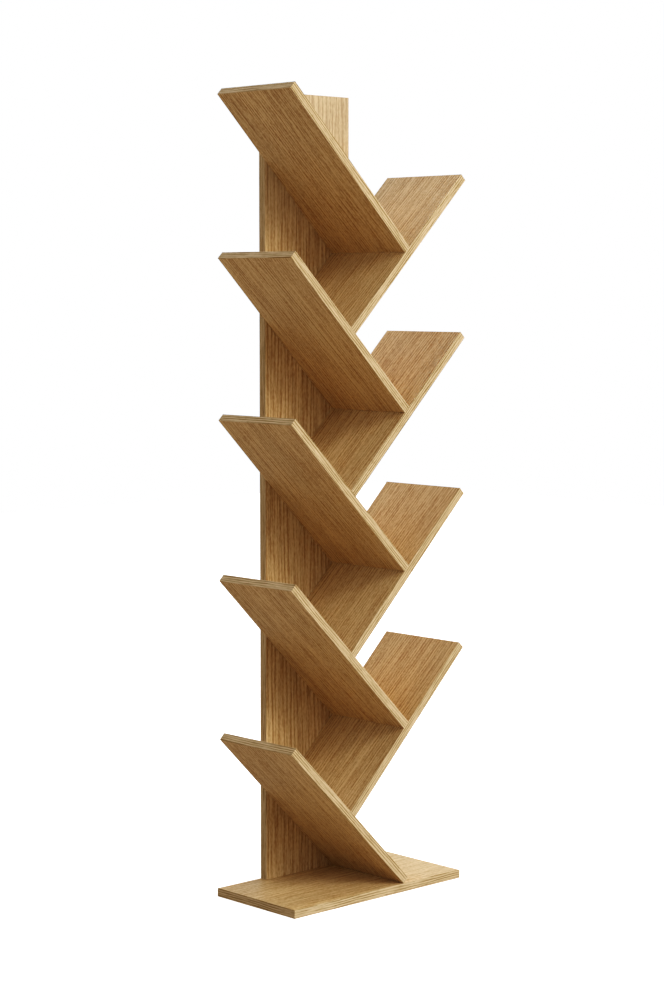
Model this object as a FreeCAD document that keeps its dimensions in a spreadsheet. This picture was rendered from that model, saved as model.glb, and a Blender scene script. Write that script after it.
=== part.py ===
import FreeCAD, Part
import os
import Sketcher

# Tree-shaped bookshelf: nine square-cut shelves zigzag up an upright panel that stands on a base board.
# Each shelf stands at a right angle on the middle of the one below, so the bays are square.
# Lengths in mm. +Z is up, the front faces -Y, the origin is the centre of the base's underside.

sizes = {
    "board_thickness": 15,  # every board
    "bay_width": 180,  # clear width between two parallel shelves, and length of a shelf's free arm
    "shelf_depth": 185,  # front edge to the trunk's front face
    "base_width": 400,
    "trunk_width": 200,
    "band_thickness": 1,  # edge strip
    "screw_length": 50,
    "screw_head_diameter": 10,
    "screw_head_rim": 0.4,  # straight rim above the cone
    "screw_shank_diameter": 6.4,
    "screw_core_diameter": 5,
    "screw_point": 5,  # tapered end
    "socket_width": 4,  # hexagon socket, across its flats
    "socket_depth": 3,
    "head_recess": 0.2,  # head below the board's face
    "screw_inset": 35,  # first trunk screw from the shelf's lower end
    "shank_clearance": 0.1,  # all round the shank
    "drill_spare": 2,  # blind hole past the end of what it takes
    "dowel_diameter": 8,
    "dowel_length": 30,
    "dowel_chamfer": 1,
    "dowel_clearance": 0.05,  # all round
    "dowel_cover": 5,  # wood left under a blind hole in a board's face
    "wall_hole_diameter": 3,  # pilot holes for a wall anchor, on the trunk's back
    "wall_hole_depth": 10,
    "wall_hole_spacing": 32,
    "wall_hole_drop": 30,  # below the trunk's top
}
tier_count = 9
lean = 45  # degrees, half of the right angle between two tiers
end_fixing_shares = (0.4, 0.8)  # of the shelf's depth, from its back edge
base_fixing_shares = (-0.4, 0, 0.4)  # of the trunk's width, from its middle
band_round_share = 0.8  # edge rounding, of the strip's thickness
point_share = 0.3  # blunt end of a screw, of its core
same_place_share = 1e-6  # of an edge's length, when edges are looked up by their place
socket_corners = 6

doc = FreeCAD.newDocument("tree_bookshelf")
sheet = doc.addObject("Spreadsheet::Sheet", "Sizes")
for row, (alias, number) in enumerate(sizes.items(), 1):
    sheet.set(f"A{row}", alias)
    sheet.set(f"B{row}", str(number))
    sheet.setAlias(f"B{row}", alias)
doc.recompute()

# Formulas of the sheet's values, used for every bound size and place
thick = "Sizes.board_thickness"
bay = "Sizes.bay_width"
depth = "Sizes.shelf_depth"
band = "Sizes.band_thickness"
slant = "sqrt(0.5)"  # sideways and upward step per length of a leaning board
rise = f"(({bay} + {thick}) * {slant})"  # from one tier to the next
shelf_length = f"(2 * {bay} + {thick})"
tip_offset = f"({rise} / 2 - {thick} * {slant})"  # lower arris of a shelf, from the middle plane
arris_drop = f"({band_round_share} * {band} * (sqrt(2) - 1))"  # what rounding takes off a lower arris
overall_height = f"({thick} + {tier_count - 1} * {rise} + ({shelf_length} + {thick}) * {slant})"
base_depth = f"({depth} + {thick})"
back_plane = f"({base_depth} / 2)"
trunk_front = f"({back_plane} - {thick})"
half_trunk = "(Sizes.trunk_width / 2)"
half_base = "(Sizes.base_width / 2)"
core_diameter = "Sizes.screw_core_diameter"
shank_hole = "(Sizes.screw_shank_diameter + 2 * Sizes.shank_clearance)"
countersink = "(Sizes.screw_head_diameter + 2 * (Sizes.head_recess + Sizes.screw_head_rim))"
screw_reach = f"(Sizes.head_recess + Sizes.screw_length - {thick})"  # into the second board
pilot_depth = f"({screw_reach} + Sizes.drill_spare)"
dowel_hole = "(Sizes.dowel_diameter + 2 * Sizes.dowel_clearance)"
dowel_seat = f"({thick} - Sizes.dowel_cover)"  # depth in a board's face
dowel_end_depth = f"(Sizes.dowel_length - {dowel_seat} + Sizes.drill_spare)"
joint_middle = f"({bay} + {thick} / 2)"  # where the next tier stands, along a shelf

axis_x = FreeCAD.Vector(1, 0, 0)
axis_y = FreeCAD.Vector(0, 1, 0)
axis_z = FreeCAD.Vector(0, 0, 1)
nodes = []


def number_of(formula):
    return sheet.evalExpression(formula)


def place(thing, x, y, z, axis=axis_z, angle=0):
    thing.Placement = FreeCAD.Placement(FreeCAD.Vector(), FreeCAD.Rotation(axis, angle))
    for letter, formula in zip("xyz", (x, y, z)):
        thing.setExpression(f"Placement.Base.{letter}", formula)


def add_body(label, where):
    body = doc.addObject("PartDesign::Body", label)
    body.Label = label
    place(body, *where)
    return body


def add_sketch(body, role, lift="0"):
    # On an origin plane of the body, lifted along the plane's normal
    sketch = body.newObject("Sketcher::SketchObject", "Sketch")
    plane = next(item for item in body.Origin.OriginFeatures if item.Role == role)
    sketch.AttachmentSupport = [(plane, "")]
    sketch.MapMode = "FlatFace"
    sketch.setExpression("AttachmentOffset.Base.z", lift)
    return sketch


def tie(sketch, kind, *references, formula):
    index = sketch.addConstraint(Sketcher.Constraint(kind, *references, number_of(formula)))
    sketch.setExpression(f"Constraints[{index}]", formula)


def draw_outline(sketch, corners):
    # Closed outline with each corner tied to the origin
    points = [FreeCAD.Vector(number_of(across), number_of(up)) for across, up in corners]
    for start, end in zip(points, points[1:] + points[:1]):
        sketch.addGeometry(Part.LineSegment(start, end))
    for line, (across, up) in enumerate(corners):
        before = (line - 1) % len(corners)
        sketch.addConstraint(Sketcher.Constraint("Coincident", before, 2, line, 1))
        tie(sketch, "DistanceX", -1, 1, line, 1, formula=across)
        tie(sketch, "DistanceY", -1, 1, line, 1, formula=up)


def draw_rectangle(sketch, left, bottom, right, top):
    draw_outline(sketch, [(left, bottom), (right, bottom), (right, top), (left, top)])


def draw_circles(sketch, centres, diameter):
    for across, up in centres:
        centre = FreeCAD.Vector(number_of(across), number_of(up))
        circle = sketch.addGeometry(Part.Circle(centre, axis_z, number_of(diameter) / 2))
        tie(sketch, "DistanceX", -1, 1, circle, 3, formula=across)
        tie(sketch, "DistanceY", -1, 1, circle, 3, formula=up)
        tie(sketch, "Diameter", circle, formula=diameter)


def add_pad(body, sketch, length, along_normal=True):
    pad = body.newObject("PartDesign::Pad", "Pad")
    pad.Profile = sketch
    pad.Reversed = not along_normal
    pad.setExpression("Length", length)
    return pad


def add_pocket(body, sketch, length, along_normal=True):
    pocket = body.newObject("PartDesign::Pocket", "Pocket")
    pocket.Profile = sketch
    pocket.Reversed = along_normal
    pocket.setExpression("Length", length)


def drill(body, role, centres, diameter, length, along_normal=True, lift="0"):
    sketch = add_sketch(body, role, lift)
    draw_circles(sketch, centres, diameter)
    add_pocket(body, sketch, length, along_normal)


def drill_countersunk(body, role, centres):
    # Screw holes through the board, along the plane's normal, with the head's seat on the plane
    sketch = add_sketch(body, role)
    draw_circles(sketch, centres, shank_hole)
    doc.recompute()
    hole = body.newObject("PartDesign::Hole", "Hole")
    hole.Profile = sketch
    doc.recompute()
    hole.ThreadType = "None"
    hole.DepthType = "ThroughAll"
    hole.Reversed = True
    hole.HoleCutType = "Countersink"
    hole.HoleCutCustomValues = True
    hole.HoleCutCountersinkAngle = 90
    hole.setExpression("Diameter", shank_hole)
    hole.setExpression("HoleCutDiameter", countersink)


def add_strip(label, where, role, outline, lift, length, along_normal, outer):
    # Edge strip with its two outer long edges rounded; outer names the axis and place of its outer face
    body = add_body(label, where)
    sketch = add_sketch(body, role, lift)
    draw_rectangle(sketch, *outline)
    pad = add_pad(body, sketch, length, along_normal)
    doc.recompute()
    letter, formula = outer
    run = pad.Length.Value
    edges = []
    for index, edge in enumerate(pad.Shape.Edges, 1):
        offsets = [getattr(vertex.Point, letter) - number_of(formula) for vertex in edge.Vertexes]
        if max(map(abs, offsets + [edge.Length - run])) < run * same_place_share:
            edges.append(f"Edge{index}")
    fillet = body.newObject("PartDesign::Fillet", "Fillet")
    fillet.Base = (pad, edges)
    fillet.setExpression("Radius", f"{band_round_share} * {band}")
    return body


def add_group(label, members):
    group = doc.addObject("Part::Compound", label)
    group.Label = label
    group.Links = members
    nodes.append(group)


def add_copies(label, pattern, places):
    copies = []
    for where in places:
        copy = doc.addObject("App::Link", f"{label}_copy")
        copy.LinkedObject = pattern
        place(copy, *where)
        copies.append(copy)
    add_group(label, copies)


def tier_side(tier):
    return 1 if tier % 2 else -1  # odd tiers rise to the right


def tier_level(tier):
    # Lower arris before it is rounded; the rounded one of the lowest shelf rests on the base
    return f"({thick} + {tier} * {rise} - {arris_drop})"


def point_on_tier(tier, along, above):
    # Place in the XZ plane from the length along a shelf and the height above its underside
    x = f"{tier_side(tier)} * (({along} - ({above})) * {slant} - {tip_offset})"
    z = f"{tier_level(tier)} + ({along} + {above}) * {slant}"
    return x, z


def trunk_screw_points(tier):
    # Both in the shelf's lower half, so that they lie evenly about the trunk's middle
    return [point_on_tier(tier, along, f"{thick} / 2")
            for along in ("Sizes.screw_inset", f"({bay} - Sizes.screw_inset)")]


# Trunk: stands on the base, its back in line with the base's back edge
trunk_where = ("0", back_plane, "0")
trunk = add_body("trunk_panel", trunk_where)
trunk_outline = add_sketch(trunk, "XZ_Plane")
draw_rectangle(trunk_outline, f"{band} - {half_trunk}", thick,
               f"{half_trunk} - {band}", f"{overall_height} - {band}")
add_pad(trunk, trunk_outline, thick)
trunk_screw_centres = [point for tier in range(tier_count) for point in trunk_screw_points(tier)]
drill_countersunk(trunk, "XZ_Plane", trunk_screw_centres)
base_screw_across = [f"{share} * Sizes.trunk_width" for share in base_fixing_shares]
drill(trunk, "XY_Plane", [(across, f"-{thick} / 2") for across in base_screw_across],
      core_diameter, pilot_depth, lift=thick)
wall_hole_level = f"{overall_height} - Sizes.wall_hole_drop"
drill(trunk, "XZ_Plane", [(f"{side} * Sizes.wall_hole_spacing / 2", wall_hole_level) for side in (-1, 1)],
      "Sizes.wall_hole_diameter", "Sizes.wall_hole_depth")
nodes.append(trunk)
trunk_strips = [
    add_strip(f"trunk_{word}_band", trunk_where, "XY_Plane",
              (f"{side} * {half_trunk}", f"-{thick}", f"{side} * ({half_trunk} - {band})", "0"),
              thick, f"{overall_height} - {thick}", True, ("x", f"{side} * {half_trunk}"))
    for word, side in (("left", -1), ("right", 1))]
trunk_strips.append(
    add_strip("trunk_top_band", trunk_where, "YZ_Plane",
              (f"-{thick}", f"{overall_height} - {band}", "0", overall_height),
              f"{band} - {half_trunk}", f"Sizes.trunk_width - 2 * {band}", True, ("z", overall_height)))
add_group("trunk_edge_bands", trunk_strips)

# Base: as deep as a shelf and the trunk together
base_where = ("0", "0", "0")
base = add_body("base_board", base_where)
base_outline = add_sketch(base, "XY_Plane")
draw_rectangle(base_outline, f"{band} - {half_base}", f"{band} - {back_plane}",
               f"{half_base} - {band}", f"{back_plane} - {band}")
add_pad(base, base_outline, thick)
drill_countersunk(base, "XY_Plane", [(across, f"{back_plane} - {thick} / 2") for across in base_screw_across])
nodes.append(base)
base_strips = [
    add_strip(f"base_{word}_band", base_where, "YZ_Plane",
              (f"{side} * {back_plane}", "0", f"{side} * ({back_plane} - {band})", thick),
              f"-{half_base}", "Sizes.base_width", True, ("y", f"{side} * {back_plane}"))
    for word, side in (("front", -1), ("back", 1))]
base_strips += [
    add_strip(f"base_{word}_band", base_where, "XZ_Plane",
              (f"{side} * {half_base}", "0", f"{side} * ({half_base} - {band})", thick),
              f"{band} - {back_plane}", f"{base_depth} - 2 * {band}", True, ("x", f"{side} * {half_base}"))
    for word, side in (("left", -1), ("right", 1))]
add_group("base_edge_bands", base_strips)

# Shelves: each body starts at its lower arris, on the trunk's front face, and lies flat before it is turned
for tier in range(tier_count):
    side = tier_side(tier)
    name = f"{'right' if side > 0 else 'left'}_shelf_{tier // 2 + 1}"
    where = (f"{-side} * {tip_offset}", trunk_front, tier_level(tier), axis_y, -side * lean)
    shelf = add_body(name, where)
    outline = add_sketch(shelf, "XY_Plane")
    draw_rectangle(outline, f"{side} * {band}", f"{band} - {depth}",
                   f"{side} * ({shelf_length} - {band})", f"-{band}")
    add_pad(shelf, outline, thick)
    strips = {}
    for word, inner, outer in (("front", f"{band} - {depth}", f"-{depth}"), ("back", f"-{band}", "0")):
        strips[word] = add_strip(f"{name}_{word}_band", where, "YZ_Plane", (inner, "0", outer, thick),
                                 "0", shelf_length, side > 0, ("y", outer))
    for word, inner, outer in (("lower", band, "0"), ("upper", f"({shelf_length} - {band})", shelf_length)):
        strips[word] = add_strip(f"{name}_{word}_band", where, "XZ_Plane",
                                 (f"{side} * {inner}", "0", f"{side} * {outer}", thick),
                                 band, f"{depth} - 2 * {band}", True, ("x", f"{side} * {outer}"))
    back_centres = [(f"{side} * {along}", f"{thick} / 2")
                    for along in ("Sizes.screw_inset", f"({bay} - Sizes.screw_inset)")]
    for board in (shelf, strips["back"]):
        drill(board, "XZ_Plane", back_centres, core_diameter, pilot_depth)
    end_centres = [(f"-{share} * {depth}", f"{thick} / 2") for share in end_fixing_shares]
    if tier > 0:
        for board in (shelf, strips["lower"]):
            if side > 0:
                drill(board, "YZ_Plane", end_centres, dowel_hole, dowel_end_depth)
            else:
                drill(board, "YZ_Plane", end_centres, core_diameter, pilot_depth, along_normal=False)
    joint_centres = [(f"{side} * {joint_middle}", f"-{share} * {depth}") for share in end_fixing_shares]
    if side > 0:
        drill_countersunk(shelf, "XY_Plane", joint_centres)
    elif tier < tier_count - 1:
        drill(shelf, "XY_Plane", joint_centres, dowel_hole, dowel_seat, along_normal=False, lift=thick)
    nodes.append(shelf)
    add_group(f"{name}_edge_bands", list(strips.values()))

# Screw: head at its origin, point towards +Z, hexagon socket in the head
screw = add_body("screw", ("0", "0", "0"))
head_radius = "Sizes.screw_head_diameter / 2"
shank_radius = "Sizes.screw_shank_diameter / 2"
core_radius = f"{core_diameter} / 2"
shank_end = f"{thick} - Sizes.head_recess"
profile = add_sketch(screw, "XZ_Plane")
draw_outline(profile, [
    ("0", "0"),
    (head_radius, "0"),
    (head_radius, "Sizes.screw_head_rim"),
    (shank_radius, f"Sizes.screw_head_rim + {head_radius} - {shank_radius}"),
    (shank_radius, f"{shank_end} - ({shank_radius} - {core_radius})"),
    (core_radius, shank_end),
    (core_radius, "Sizes.screw_length - Sizes.screw_point"),
    (f"{point_share} * {core_radius}", "Sizes.screw_length"),
    ("0", "Sizes.screw_length")])
turned = screw.newObject("PartDesign::Revolution", "Revolution")
turned.Profile = profile
turned.ReferenceAxis = (profile, ["V_Axis"])
turned.Angle = 360
socket = add_sketch(screw, "XY_Plane")
corner_angles = [f"{corner} * 360 deg / {socket_corners}" for corner in range(socket_corners)]
socket_radius = "Sizes.socket_width / sqrt(3)"
draw_outline(socket, [
    (f"{socket_radius} * cos({angle})", f"{socket_radius} * sin({angle})") for angle in corner_angles])
add_pocket(screw, socket, "Sizes.socket_depth")

# Dowel: from its origin towards +Z, both ends chamfered
dowel = add_body("dowel", ("0", "0", "0"))
dowel_radius = "Sizes.dowel_diameter / 2"
dowel_profile = add_sketch(dowel, "XZ_Plane")
draw_outline(dowel_profile, [
    ("0", "0"),
    (f"{dowel_radius} - Sizes.dowel_chamfer", "0"),
    (dowel_radius, "Sizes.dowel_chamfer"),
    (dowel_radius, "Sizes.dowel_length - Sizes.dowel_chamfer"),
    (f"{dowel_radius} - Sizes.dowel_chamfer", "Sizes.dowel_length"),
    ("0", "Sizes.dowel_length")])
dowel_turned = dowel.newObject("PartDesign::Revolution", "Revolution")
dowel_turned.Profile = dowel_profile
dowel_turned.ReferenceAxis = (dowel_profile, ["V_Axis"])
dowel_turned.Angle = 360

add_copies("trunk_shelf_screws", screw, [
    (x, f"{back_plane} - Sizes.head_recess", z, axis_x, 90) for x, z in trunk_screw_centres])
add_copies("base_trunk_screws", screw, [
    (across, f"{back_plane} - {thick} / 2", "Sizes.head_recess") for across in base_screw_across])
end_screw_places = []
dowel_places = []
for tier in range(1, tier_count):
    for share in end_fixing_shares:
        y = f"{trunk_front} - {share} * {depth}"
        if tier_side(tier) > 0:
            x, z = point_on_tier(tier, f"-{dowel_seat}", f"{thick} / 2")
            dowel_places.append((x, y, z, axis_y, lean))
        else:
            x, z = point_on_tier(tier, f"(Sizes.head_recess - {thick})", f"{thick} / 2")
            end_screw_places.append((x, y, z, axis_y, -lean))
add_copies("shelf_end_screws", screw, end_screw_places)
add_copies("shelf_dowels", dowel, dowel_places)

doc.recompute()
for item in doc.Objects:
    if {"Invalid", "Error"} & set(item.State):
        raise RuntimeError(f"{item.Label} is {item.State}")
for node in nodes:
    if node.Shape.isNull() or not node.Shape.isValid():
        raise RuntimeError(f"{node.Label} has no valid shape")
os.makedirs("parts", exist_ok=True)
for node in nodes:
    node.Shape.exportStep(f"parts/{node.Label}.step")
    print(node.Label, len(node.Shape.Solids), round(node.Shape.Volume, 1))
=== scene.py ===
import math

import bpy
import numpy as np
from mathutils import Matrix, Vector


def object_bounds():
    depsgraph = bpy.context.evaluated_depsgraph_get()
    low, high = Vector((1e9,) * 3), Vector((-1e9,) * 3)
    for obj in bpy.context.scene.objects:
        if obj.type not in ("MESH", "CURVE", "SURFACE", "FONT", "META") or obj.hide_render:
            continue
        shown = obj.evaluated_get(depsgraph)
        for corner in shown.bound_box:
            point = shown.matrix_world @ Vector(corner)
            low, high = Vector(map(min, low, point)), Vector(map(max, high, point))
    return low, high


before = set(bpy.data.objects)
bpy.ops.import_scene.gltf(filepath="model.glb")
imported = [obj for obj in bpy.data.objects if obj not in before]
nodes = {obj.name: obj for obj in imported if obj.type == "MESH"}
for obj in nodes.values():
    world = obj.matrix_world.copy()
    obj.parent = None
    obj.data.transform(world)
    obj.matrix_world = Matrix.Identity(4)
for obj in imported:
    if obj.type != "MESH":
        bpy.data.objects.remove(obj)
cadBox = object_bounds()
print("frame loaded:", len(nodes), "CAD nodes")


# small helpers for shader nodes

def plug(tree, socket, value):
    # a socket is linked, a number or colour is set on the input itself
    if isinstance(value, bpy.types.NodeSocket):
        tree.links.new(value, socket)
    else:
        socket.default_value = value


def calc(tree, operation, first, second=0.0, third=0.0):
    # one sum, product or curve of up to three numbers
    node = tree.nodes.new("ShaderNodeMath")
    node.operation = operation
    for socket, value in zip(node.inputs, (first, second, third)):
        plug(tree, socket, value)
    return node.outputs[0]


def blendColour(tree, share, first, second, kind="MIX"):
    # the first colour, moved by this share towards the second, or towards their product where kind is MULTIPLY
    node = tree.nodes.new("ShaderNodeMix")
    node.data_type = "RGBA"
    node.blend_type = kind
    plug(tree, node.inputs[0], share)
    plug(tree, node.inputs[6], first)
    plug(tree, node.inputs[7], second)
    return node.outputs[2]


def fitRange(tree, value, low, high, newLow=0.0, newHigh=1.0):
    # a straight line from the old range to the new one, held at its ends
    node = tree.nodes.new("ShaderNodeMapRange")
    for name, number in (("Value", value), ("From Min", low), ("From Max", high),
                         ("To Min", newLow), ("To Max", newHigh)):
        plug(tree, node.inputs[name], number)
    return node.outputs[0]


def splitPlace(tree, place):
    # the three coordinates of a place
    node = tree.nodes.new("ShaderNodeSeparateXYZ")
    tree.links.new(place, node.inputs[0])
    return node.outputs


def stretchedNoise(tree, place, perMetre, detail=2.0, roughness=0.5):
    # noise with its own count of features per metre along, across and through the board
    mapping = tree.nodes.new("ShaderNodeMapping")
    mapping.inputs["Scale"].default_value = perMetre
    tree.links.new(place, mapping.inputs["Vector"])
    noise = tree.nodes.new("ShaderNodeTexNoise")
    noise.inputs["Scale"].default_value = 1.0
    noise.inputs["Detail"].default_value = detail
    noise.inputs["Roughness"].default_value = roughness
    tree.links.new(mapping.outputs["Vector"], noise.inputs["Vector"])
    return noise.outputs["Fac"]


def thinCrests(tree, distance, gap, drift, wander):
    # the cube of half of one plus the sine of the distance in gaps, its phase moved by the drift
    turns = calc(tree, "MULTIPLY", distance, 2.0 * math.pi / gap)
    phase = calc(tree, "MULTIPLY_ADD", drift, wander, turns)
    wave = calc(tree, "MULTIPLY_ADD", calc(tree, "SINE", phase), 0.5, 0.5)
    return calc(tree, "POWER", wave, 3.0)


def startMaterial(name, turn=(0, 0, 0), slide=(0, 0, 0)):
    # turn brings the grain onto local X, the width onto Y and the thickness onto Z
    material = bpy.data.materials.new(name)
    material.use_nodes = True
    tree = material.node_tree
    tree.nodes.clear()
    output = tree.nodes.new("ShaderNodeOutputMaterial")
    shader = tree.nodes.new("ShaderNodeBsdfPrincipled")
    tree.links.new(shader.outputs["BSDF"], output.inputs["Surface"])
    coords = tree.nodes.new("ShaderNodeTexCoord")
    mapping = tree.nodes.new("ShaderNodeMapping")
    mapping.inputs["Rotation"].default_value = [math.radians(a) for a in turn]
    mapping.inputs["Location"].default_value = slide
    tree.links.new(coords.outputs["Object"], mapping.inputs["Vector"])
    return material, tree, shader, mapping.outputs["Vector"]


def addBump(tree, shader, height, look):
    # the height, in the look's depth and strength, tilts the surface
    bump = tree.nodes.new("ShaderNodeBump")
    bump.inputs["Strength"].default_value = look["bumpStrength"]
    bump.inputs["Distance"].default_value = look["bumpDepth"]
    tree.links.new(height, bump.inputs["Height"])
    tree.links.new(bump.outputs["Normal"], shader.inputs["Normal"])


# oak boards

oakColours = {
    "pale": (0.72, 0.53, 0.28, 1.0),
    "brown": (0.377, 0.196, 0.063, 1.0),
    "pore": (0.235, 0.105, 0.027, 1.0),
}

# gaps and lengths in metres; tone and depths are shares of the step from pale to brown
shelfGrain = {
    "tone": 0.36,
    "ringGap": 0.006, "ringDepth": 0.5,
    "lineGap": 0.0036, "lineLength": 0.22, "lineDepth": 1.4,
    "dashGap": 0.0028, "dashLength": 0.03, "dashDepth": 1.4,
    "fleckGap": 0.0022, "fleckLength": 0.005, "fleckDepth": 1.5,
    "bend": 0.02, "poreShare": 0.4, "roughness": (0.4, 0.56), "paintedHighlight": None,
}
# a painted highlight: a paler tone set to the photograph where the wood stands in full light; each place is
# an object axis, where it starts and where it is full
trunkGrain = {
    "tone": 0.45,
    "ringGap": 0.0085, "ringDepth": 0.5,
    "lineGap": 0.004, "lineLength": 0.2, "lineDepth": 1.4,
    "dashGap": 0.003, "dashLength": 0.035, "dashDepth": 1.3,
    "fleckGap": 0.0022, "fleckLength": 0.007, "fleckDepth": 1.3,
    "bend": 0.02, "poreShare": 0.5, "roughness": (0.46, 0.62),
    "paintedHighlight": {  # painted highlight on the front above the top shelf, where the wood stands in full light
        "colour": (0.465, 0.43, 0.345, 1.0), "share": 0.36,
        "where": ((2, 1.12, 1.34), (1, 0.095, 0.09)),
    },
}
baseGrain = {
    "tone": 0.36,
    "ringGap": 0.011, "ringDepth": 0.22,
    "lineGap": 0.0055, "lineLength": 0.25, "lineDepth": 0.75,
    "dashGap": 0.0042, "dashLength": 0.025, "dashDepth": 1.0,
    "fleckGap": 0.0032, "fleckLength": 0.006, "fleckDepth": 1.3,
    "bend": 0.02, "poreShare": 0.4, "roughness": (0.46, 0.62),
    "paintedHighlight": {  # painted highlight on the open right end of its top, where the wood stands in full light
        "colour": (0.517, 0.477, 0.335, 1.0), "share": 0.26,
        "where": ((0, 0.05, 0.13), (2, 0.005, 0.01)),
    },
}

# what all boards share: features per metre, ranges of the noises, and relief
oakPattern = {
    "bendPerMetre": (1.6, 5.0, 5.0),
    "driftPerMetre": (5.0, 45.0, 20.0), "wander": 12.0, "ringMiddle": 0.3,
    "throughShare": 0.2,  # features through the thickness, as a share of those across
    "broadPerMetre": (1.5, 14.0, 9.0), "broadRange": (0.3, 0.7),
    "broadDark": (0.94, 0.93, 0.91, 1.0), "broadLight": (1.06, 1.05, 1.05, 1.0),
    "poresPerMetre": (70.0, 1250.0, 300.0), "poreRange": (0.56, 0.70),
    "poreLines": (0.4, 0.6, 0.2, 1.0),  # range of the lines, and how full of pores its ends are
    "fleckHeight": 0.35, "bumpDepth": 0.0002, "bumpStrength": 0.35,
}


def paintedHighlightShare(tree, paintedHighlight):
    # where the painted highlight goes: the product of one ramp for each axis, times the full share
    place = splitPlace(tree, tree.nodes["Texture Coordinate"].outputs["Object"])
    share = paintedHighlight["share"]
    for axis, start, full in paintedHighlight["where"]:
        share = calc(tree, "MULTIPLY", fitRange(tree, place[axis], start, full), share)
    return share


def bentPlace(tree, straight, bend):
    # the straight place, moved across the board by a slow noise about zero times the bend
    slow = stretchedNoise(tree, straight, oakPattern["bendPerMetre"], 1.0)
    offset = tree.nodes.new("ShaderNodeCombineXYZ")
    plug(tree, offset.inputs[1], calc(tree, "MULTIPLY", calc(tree, "SUBTRACT", slow, 0.5), bend))
    shifted = tree.nodes.new("ShaderNodeVectorMath")
    tree.links.new(straight, shifted.inputs[0])
    tree.links.new(offset.outputs[0], shifted.inputs[1])
    return shifted.outputs[0]


def oakBoard(name, grain, turn, slide):
    # straight-grained oak: growth rings are thin crests of a sine across the board with a wandering phase;
    # long fine lines, shorter dashes and flecks are noises stretched along it; pores sit in the dark lines
    material, tree, shader, straight = startMaterial(name, turn, slide)
    place = bentPlace(tree, straight, grain["bend"])
    drift = stretchedNoise(tree, place, oakPattern["driftPerMetre"], 2.0)
    across = splitPlace(tree, place)[1]
    rings = thinCrests(tree, across, grain["ringGap"], drift, oakPattern["wander"])
    rings = calc(tree, "SUBTRACT", rings, oakPattern["ringMiddle"])
    tone = calc(tree, "MULTIPLY_ADD", rings, grain["ringDepth"], grain["tone"])
    layers = {}
    for layer in ("line", "dash", "fleck"):
        gap = grain[layer + "Gap"]
        perMetre = (1.0 / grain[layer + "Length"], 1.0 / gap, oakPattern["throughShare"] / gap)
        layers[layer] = stretchedNoise(tree, place, perMetre, 1.0)
        aboutZero = calc(tree, "SUBTRACT", layers[layer], 0.5)
        tone = calc(tree, "MULTIPLY_ADD", aboutZero, grain[layer + "Depth"], tone)
    colour = blendColour(tree, tone, oakColours["pale"], oakColours["brown"])
    broad = stretchedNoise(tree, straight, oakPattern["broadPerMetre"], 2.0)
    broad = fitRange(tree, broad, *oakPattern["broadRange"])
    tint = blendColour(tree, broad, oakPattern["broadDark"], oakPattern["broadLight"])
    colour = blendColour(tree, 1.0, colour, tint, "MULTIPLY")
    pores = stretchedNoise(tree, place, oakPattern["poresPerMetre"], 1.0)
    pores = fitRange(tree, pores, *oakPattern["poreRange"])
    pores = calc(tree, "MULTIPLY", pores, fitRange(tree, layers["line"], *oakPattern["poreLines"]))
    dark = calc(tree, "MULTIPLY", pores, grain["poreShare"])
    colour = blendColour(tree, dark, colour, oakColours["pore"])
    # painted highlight: a paler tone mixed in where the wood stands in full light
    if grain["paintedHighlight"]:
        colour = blendColour(tree, paintedHighlightShare(tree, grain["paintedHighlight"]), colour, grain["paintedHighlight"]["colour"])
    plug(tree, shader.inputs["Base Color"], colour)
    plug(tree, shader.inputs["Roughness"], fitRange(tree, tone, 0.0, 1.0, *grain["roughness"]))
    raised = calc(tree, "MULTIPLY", layers["fleck"], oakPattern["fleckHeight"])
    addBump(tree, shader, calc(tree, "SUBTRACT", raised, pores), oakPattern)
    return material


# edge strips: the lines run along the strip, layered through the board's thickness

stripLook = {
    "pale": (0.681, 0.518, 0.319, 1.0),
    "brown": (0.255, 0.157, 0.0515, 1.0),
    "lineGap": 0.0042, "lineDepth": 0.95, "driftPerMetre": (9.0, 9.0, 70.0), "wander": 9.0,
    "stretchPerMetre": (14.0, 14.0, 160.0),
    "stretchStrength": (0.35, 0.65, 0.2, 1.3),  # range of the noise, and how strong the lines are at its ends
    "fibresPerMetre": (30.0, 30.0, 700.0), "fibreMiddle": 0.4, "fibreDepth": 1.3,
    "dashesPerMetre": (90.0, 90.0, 700.0), "dashRange": (0.56, 0.7), "dashDepth": 0.3,
    "roughness": (0.5, 0.65), "specular": 0.15, "bumpDepth": 0.0002, "bumpStrength": 0.3,
}


def oakStrip(name, turn, slide):
    # thin crests of a sine through the board's thickness run along all four sides as fine layered lines,
    # strong in some stretches and faint in others, over finer fibres and short dashes
    material, tree, shader, place = startMaterial(name, turn, slide)
    drift = stretchedNoise(tree, place, stripLook["driftPerMetre"], 2.0)
    through = splitPlace(tree, place)[2]
    lines = thinCrests(tree, through, stripLook["lineGap"], drift, stripLook["wander"])
    stretch = stretchedNoise(tree, place, stripLook["stretchPerMetre"], 2.0)
    stretch = fitRange(tree, stretch, *stripLook["stretchStrength"])
    fibres = stretchedNoise(tree, place, stripLook["fibresPerMetre"], 2.0)
    dashes = stretchedNoise(tree, place, stripLook["dashesPerMetre"], 1.0)
    dashes = fitRange(tree, dashes, *stripLook["dashRange"])
    tone = calc(tree, "MULTIPLY", calc(tree, "MULTIPLY", lines, stretch), stripLook["lineDepth"])
    fibres = calc(tree, "SUBTRACT", fibres, stripLook["fibreMiddle"])
    tone = calc(tree, "MULTIPLY_ADD", fibres, stripLook["fibreDepth"], tone)
    tone = calc(tree, "MULTIPLY_ADD", dashes, stripLook["dashDepth"], tone)
    plug(tree, shader.inputs["Base Color"], blendColour(tree, tone, stripLook["pale"], stripLook["brown"]))
    plug(tree, shader.inputs["Roughness"], fitRange(tree, tone, 0.0, 1.0, *stripLook["roughness"]))
    shader.inputs["Specular IOR Level"].default_value = stripLook["specular"]
    addBump(tree, shader, calc(tree, "SUBTRACT", 1.0, tone), stripLook)
    return material


# screws and dowels

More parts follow.
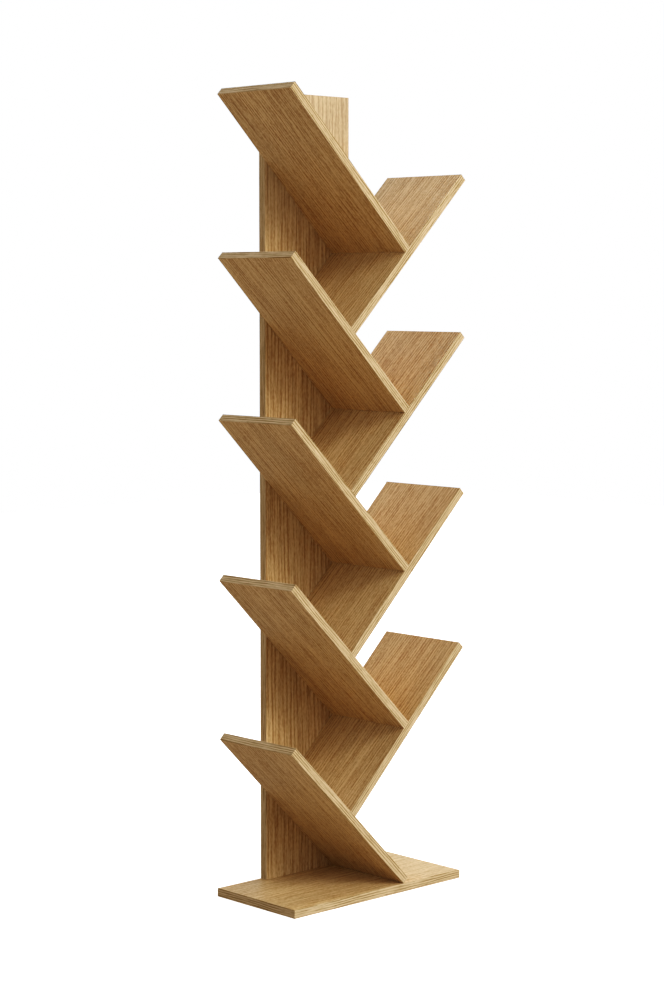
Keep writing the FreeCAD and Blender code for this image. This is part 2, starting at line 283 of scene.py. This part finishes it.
zincLook = {
    "colour": (0.62, 0.63, 0.64, 1.0), "dull": (0.48, 0.49, 0.51, 1.0), "roughness": (0.24, 0.42),
    "spotsPerMetre": (900.0, 900.0, 900.0), "cloudsPerMetre": (160.0, 160.0, 160.0), "range": (0.35, 0.65),
    "bumpDepth": 0.00005, "bumpStrength": 0.25,
}
beechLook = {
    "pale": (0.66, 0.48, 0.31, 1.0), "brown": (0.52, 0.34, 0.2, 1.0), "turn": (0.0, 45.0, 0.0),
    "flecksPerMetre": (250.0, 1800.0, 1800.0), "fleckRange": (0.5, 0.7), "fleckShare": 0.6,
    "fibresPerMetre": (60.0, 1500.0, 1500.0), "fibreShare": 0.4,
    "fibreRoughness": (0.3, 0.7, 0.5, 0.65),  # range of the fibres, and the roughness at its ends
    "bumpDepth": 0.0001, "bumpStrength": 0.3,
}


def zincSteel(name):
    # spangled plating: two greys shared out by the mean of a fine and a coarse noise
    material, tree, shader, place = startMaterial(name)
    spots = stretchedNoise(tree, place, zincLook["spotsPerMetre"], 3.0, 0.6)
    clouds = stretchedNoise(tree, place, zincLook["cloudsPerMetre"], 2.0)
    share = calc(tree, "ADD", calc(tree, "MULTIPLY", spots, 0.5), calc(tree, "MULTIPLY", clouds, 0.5))
    share = fitRange(tree, share, *zincLook["range"])
    plug(tree, shader.inputs["Base Color"], blendColour(tree, share, zincLook["colour"], zincLook["dull"]))
    shader.inputs["Metallic"].default_value = 1.0
    plug(tree, shader.inputs["Roughness"], fitRange(tree, share, 0.0, 1.0, *zincLook["roughness"]))
    addBump(tree, shader, spots, zincLook)
    return material


def beechRod(name):
    # short dark flecks along the rod on even pinkish wood
    material, tree, shader, place = startMaterial(name, beechLook["turn"])
    flecks = stretchedNoise(tree, place, beechLook["flecksPerMetre"], 1.0)
    flecks = fitRange(tree, flecks, *beechLook["fleckRange"])
    fibres = stretchedNoise(tree, place, beechLook["fibresPerMetre"], 2.0)
    tone = calc(tree, "ADD", calc(tree, "MULTIPLY", flecks, beechLook["fleckShare"]),
                calc(tree, "MULTIPLY", fibres, beechLook["fibreShare"]))
    plug(tree, shader.inputs["Base Color"], blendColour(tree, tone, beechLook["pale"], beechLook["brown"]))
    plug(tree, shader.inputs["Roughness"], fitRange(tree, fibres, *beechLook["fibreRoughness"]))
    addBump(tree, shader, fibres, beechLook)
    return material


# which finish each CAD node takes: grain up the trunk, along the base and along each shelf's slope;
# slide takes each kind to its own part of the pattern
boards = {
    "trunk": {"grain": trunkGrain, "turn": (90.0, 0.0, 90.0), "slide": (0.31, 0.07, 0.0)},
    "base": {"grain": baseGrain, "turn": (0.0, 0.0, 0.0), "slide": (0.9, 0.4, 0.0)},
    "left_shelf": {"grain": shelfGrain, "turn": (0.0, 135.0, -3.0), "slide": (2.3, 0.2, 0.0)},
    "right_shelf": {"grain": shelfGrain, "turn": (0.0, 45.0, 3.0), "slide": (4.1, 0.6, 0.0)},
}
boardFinish = {}
stripFinish = {}
for kind, board in boards.items():
    boardFinish[kind] = oakBoard(kind + "_oak", board["grain"], board["turn"], board["slide"])
    stripFinish[kind] = oakStrip(kind + "_edge_oak", board["turn"], board["slide"])
zincFinish = zincSteel("zinc_plated_screw")
beechFinish = beechRod("beech_dowel")


def finishFor(nodeName):
    # the finish that the node's name asks for
    if "screws" in nodeName:
        return zincFinish
    if "dowels" in nodeName:
        return beechFinish
    kind = next(k for k in boards if nodeName.startswith(k))
    return stripFinish[kind] if "edge_bands" in nodeName else boardFinish[kind]


for nodeName, node in nodes.items():
    finish = finishFor(nodeName)
    for slot in node.material_slots:
        slot.material = finish
print("finishes given to", len(nodes), "nodes")


# floor, light and camera

floorLook = {
    "halfSize": 6.0, "squares": 8, "drop": 0.0005,
    "colour": (0.86, 0.855, 0.85, 1.0), "glow": 0.9, "roughness": 0.9,
}


def paleFloor():
    # a flat grid of squares a hair under the base, so that the two faces don't flicker; clear from below
    count = floorLook["squares"]
    row = count + 1
    steps = np.linspace(-floorLook["halfSize"], floorLook["halfSize"], row)
    x, y = np.meshgrid(steps, steps)
    level = np.full(x.size, cadBox[0].z - floorLook["drop"])
    points = np.column_stack((x.ravel(), y.ravel(), level))
    first = (np.arange(count)[:, None] * row + np.arange(count)[None, :]).ravel()
    faces = np.column_stack((first, first + 1, first + row + 1, first + row))
    mesh = bpy.data.meshes.new("floor")
    mesh.from_pydata(points.tolist(), [], faces.tolist())
    floor = bpy.data.objects.new("floor", mesh)
    bpy.context.scene.collection.objects.link(floor)
    material = bpy.data.materials.new("pale_floor")
    material.use_nodes = True
    tree = material.node_tree
    shader = tree.nodes["Principled BSDF"]
    shader.inputs["Base Color"].default_value = floorLook["colour"]
    shader.inputs["Roughness"].default_value = floorLook["roughness"]
    shader.inputs["Specular IOR Level"].default_value = 0.0
    shader.inputs["Emission Color"].default_value = (1.0, 1.0, 1.0, 1.0)
    shader.inputs["Emission Strength"].default_value = floorLook["glow"]
    clear = tree.nodes.new("ShaderNodeBsdfTransparent")
    side = tree.nodes.new("ShaderNodeNewGeometry")
    mix = tree.nodes.new("ShaderNodeMixShader")
    tree.links.new(side.outputs["Backfacing"], mix.inputs[0])
    tree.links.new(shader.outputs["BSDF"], mix.inputs[1])
    tree.links.new(clear.outputs[0], mix.inputs[2])
    tree.links.new(mix.outputs[0], tree.nodes["Material Output"].inputs["Surface"])
    mesh.materials.append(material)
    floor.visible_diffuse = False
    floor.visible_glossy = False
    floor.visible_shadow = False


# square panels that all face one point; most are hidden from reflections, or the satin boards turn white
# at low angles
lightPanels = {"aim": (0.0, 0.0, 0.7), "size": 3.2}
studioLights = {
    "keyLight": {"place": (3.76, -6.52, 1.76), "watts": 197.0, "gloss": False},
    "frontLight": {"place": (1.08, -6.13, 5.06), "watts": 266.0, "gloss": False},
    "lowLight": {"place": (0.0, -7.43, 2.28), "watts": 78.0, "gloss": False},
    "sideLight": {"place": (6.58, 0.0, 4.5), "watts": 472.0, "gloss": False},
    "leftLight": {"place": (-5.47, 1.99, 5.59), "watts": 40.0, "gloss": False},
    "backLight": {"place": (-1.3, 7.35, 2.15), "watts": 119.0, "gloss": False},
    "highBackLight": {"place": (1.51, 5.62, 5.59), "watts": 37.0, "gloss": True},
}


def areaLight(name, look):
    # a panel at its place, turned to face the aim
    data = bpy.data.lights.new(name, "AREA")
    data.shape = "SQUARE"
    data.size = lightPanels["size"]
    data.energy = look["watts"]
    light = bpy.data.objects.new(name, data)
    light.visible_glossy = look["gloss"]
    light.location = look["place"]
    towards = Vector(lightPanels["aim"]) - Vector(look["place"])
    light.rotation_euler = towards.to_track_quat("-Z", "Y").to_euler()
    bpy.context.scene.collection.objects.link(light)


roomLight = {
    "above": (0.261, 0.223, 0.199, 1.0), "below": (0.496, 0.397, 0.317, 1.0),  # what lights the boards
    "horizon": (-0.15, 0.15),  # heights between which the lower half turns into the upper
    "horizonToPole": (0.5, 1.83),  # how much of it comes from the side, and from straight above or below
    "sheenAbove": (0.81, 0.81, 0.81, 1.0), "sheenBelow": (0.137, 0.125, 0.112, 1.0),  # what their satin shows
    "white": 1.0,  # what the camera sees
}


def studioRoom():
    # white for the camera; for what it lights and for what the satin shows, one colour above the horizon
    # and one below, the lighting one stronger with the square of the height
    world = bpy.data.worlds.new("studio")
    world.use_nodes = True
    tree = world.node_tree
    tree.nodes.clear()
    output = tree.nodes.new("ShaderNodeOutputWorld")
    coords = tree.nodes.new("ShaderNodeTexCoord")
    height = splitPlace(tree, coords.outputs["Generated"])[2]
    upShare = fitRange(tree, height, *roomLight["horizon"])
    soft = tree.nodes.new("ShaderNodeBackground")
    plug(tree, soft.inputs["Color"], blendColour(tree, upShare, roomLight["below"], roomLight["above"]))
    steep = calc(tree, "MULTIPLY", height, height)
    plug(tree, soft.inputs["Strength"], fitRange(tree, steep, 0.0, 1.0, *roomLight["horizonToPole"]))
    sheen = tree.nodes.new("ShaderNodeBackground")
    sheenColour = blendColour(tree, upShare, roomLight["sheenBelow"], roomLight["sheenAbove"])
    plug(tree, sheen.inputs["Color"], sheenColour)
    white = tree.nodes.new("ShaderNodeBackground")
    white.inputs["Color"].default_value = (1.0, 1.0, 1.0, 1.0)
    white.inputs["Strength"].default_value = roomLight["white"]
    path = tree.nodes.new("ShaderNodeLightPath")
    shown = soft.outputs[0]
    for ray, other in (("Is Glossy Ray", sheen), ("Is Camera Ray", white)):
        mix = tree.nodes.new("ShaderNodeMixShader")
        tree.links.new(path.outputs[ray], mix.inputs[0])
        tree.links.new(shown, mix.inputs[1])
        tree.links.new(other.outputs[0], mix.inputs[2])
        shown = mix.outputs[0]
    tree.links.new(shown, output.inputs["Surface"])
    bpy.context.scene.world = world


# turn and tip in degrees, to the right of straight back and down from level
cameraLook = {
    "place": (-2.7596, -2.9257, 1.0583), "turn": 43.113, "tip": 4.679,
    "lens": 83.268, "sensorWidth": 36.0, "shiftY": -0.0235,
}


def photoCamera():
    # the photograph's viewing point, turned and tipped to its direction
    data = bpy.data.cameras.new("camera")
    data.lens = cameraLook["lens"]
    data.sensor_width = cameraLook["sensorWidth"]
    data.shift_y = cameraLook["shiftY"]
    camera = bpy.data.objects.new("camera", data)
    camera.location = cameraLook["place"]
    camera.rotation_euler = (math.radians(90.0 - cameraLook["tip"]), 0.0, -math.radians(cameraLook["turn"]))
    bpy.context.scene.collection.objects.link(camera)
    bpy.context.scene.camera = camera


printLook = {"contrast": (0.118, 0.207, 0.317), "steps": 11}


def printToLight(tone):
    # the sRGB curve: a straight foot, then a power of 2.4
    return np.where(tone > 0.04045, ((tone + 0.055) / 1.055) ** 2.4, tone / 12.92)


def photoContrast():
    # the photograph's contrast: a tone of the print is lowered by the contrast times the sine of that share of
    # a full turn, over a full turn; least in red and most in blue, so that bright wood is paler and dark wood
    # is deeper in colour
    tone = np.linspace(0.0, 1.0, printLook["steps"])
    light = printToLight(tone)
    view = bpy.context.scene.view_settings
    view.view_transform = "Standard"
    view.use_curve_mapping = True
    for curve, contrast in zip(view.curve_mapping.curves, printLook["contrast"]):
        newLight = printToLight(tone - contrast * np.sin(2.0 * np.pi * tone) / (2.0 * np.pi))
        for x, y in zip(light[1:-1].tolist(), newLight[1:-1].tolist()):
            curve.points.new(x, y)
    view.curve_mapping.update()


paleFloor()
for lightName, lightLook in studioLights.items():
    areaLight(lightName, lightLook)
studioRoom()
photoCamera()
photoContrast()
print("floor, lights and camera placed")
